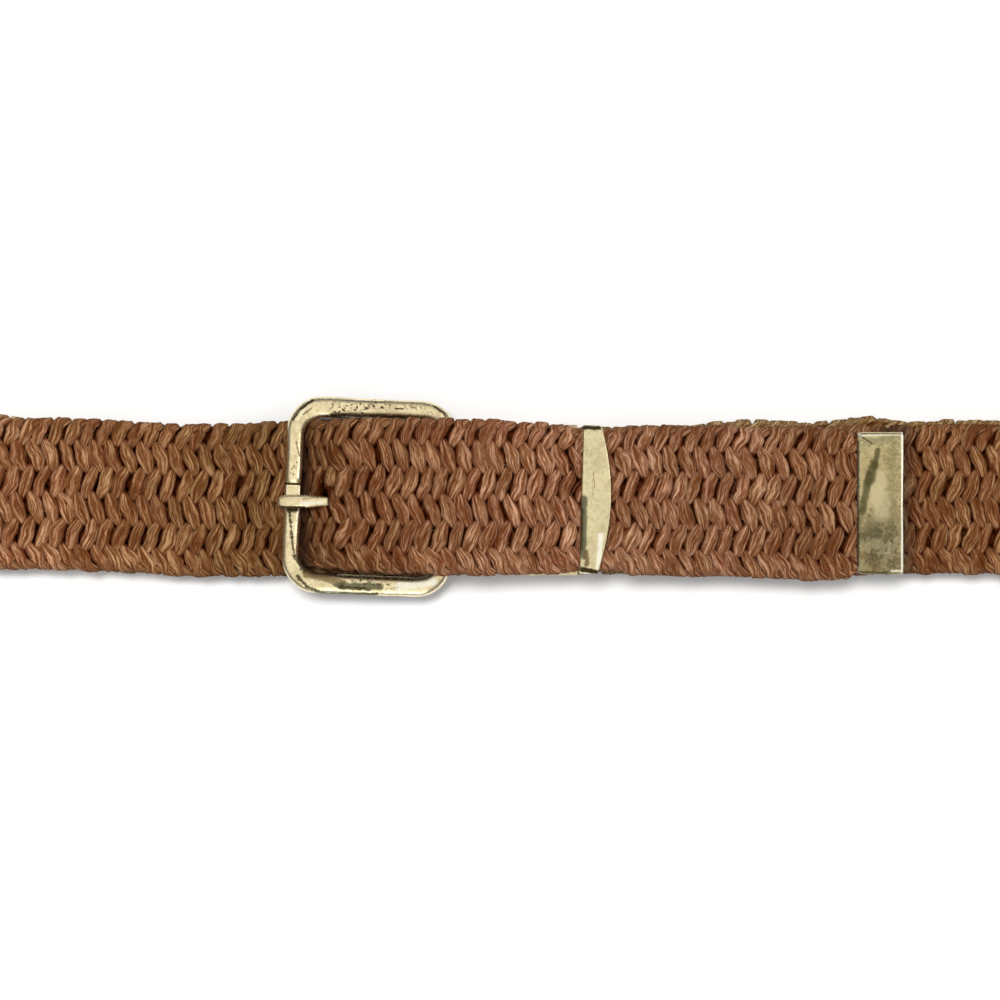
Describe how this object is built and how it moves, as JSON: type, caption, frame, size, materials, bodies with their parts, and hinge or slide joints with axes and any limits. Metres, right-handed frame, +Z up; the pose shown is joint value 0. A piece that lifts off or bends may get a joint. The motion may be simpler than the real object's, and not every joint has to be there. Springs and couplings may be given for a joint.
{
  "type": "rope belt",
  "caption": "Flat braided jute belt with a brass prong buckle, sheet keeper and capped tip, fastened and laid flat as a closed loop.",
  "frame": {"origin": "on the surface it lies on, under the middle of its length and width", "axes": "+X along the belt towards its free tip, +Y across the strap, +Z up from the surface"},
  "size_m": [0.3996, 0.0522, 0.0206],
  "materials": {
    "braid": "dry, hairy plant fibre in a flat braid",
    "brass": "worn satin with dull green and brown tarnish"
  },
  "bodies": {
    "root": {"braided_strap": "braid", "buckle_frame": "brass", "prong": "brass", "end_clamp": "brass", "keeper": "brass", "tip": "brass"}
  },
  "joints": []
}
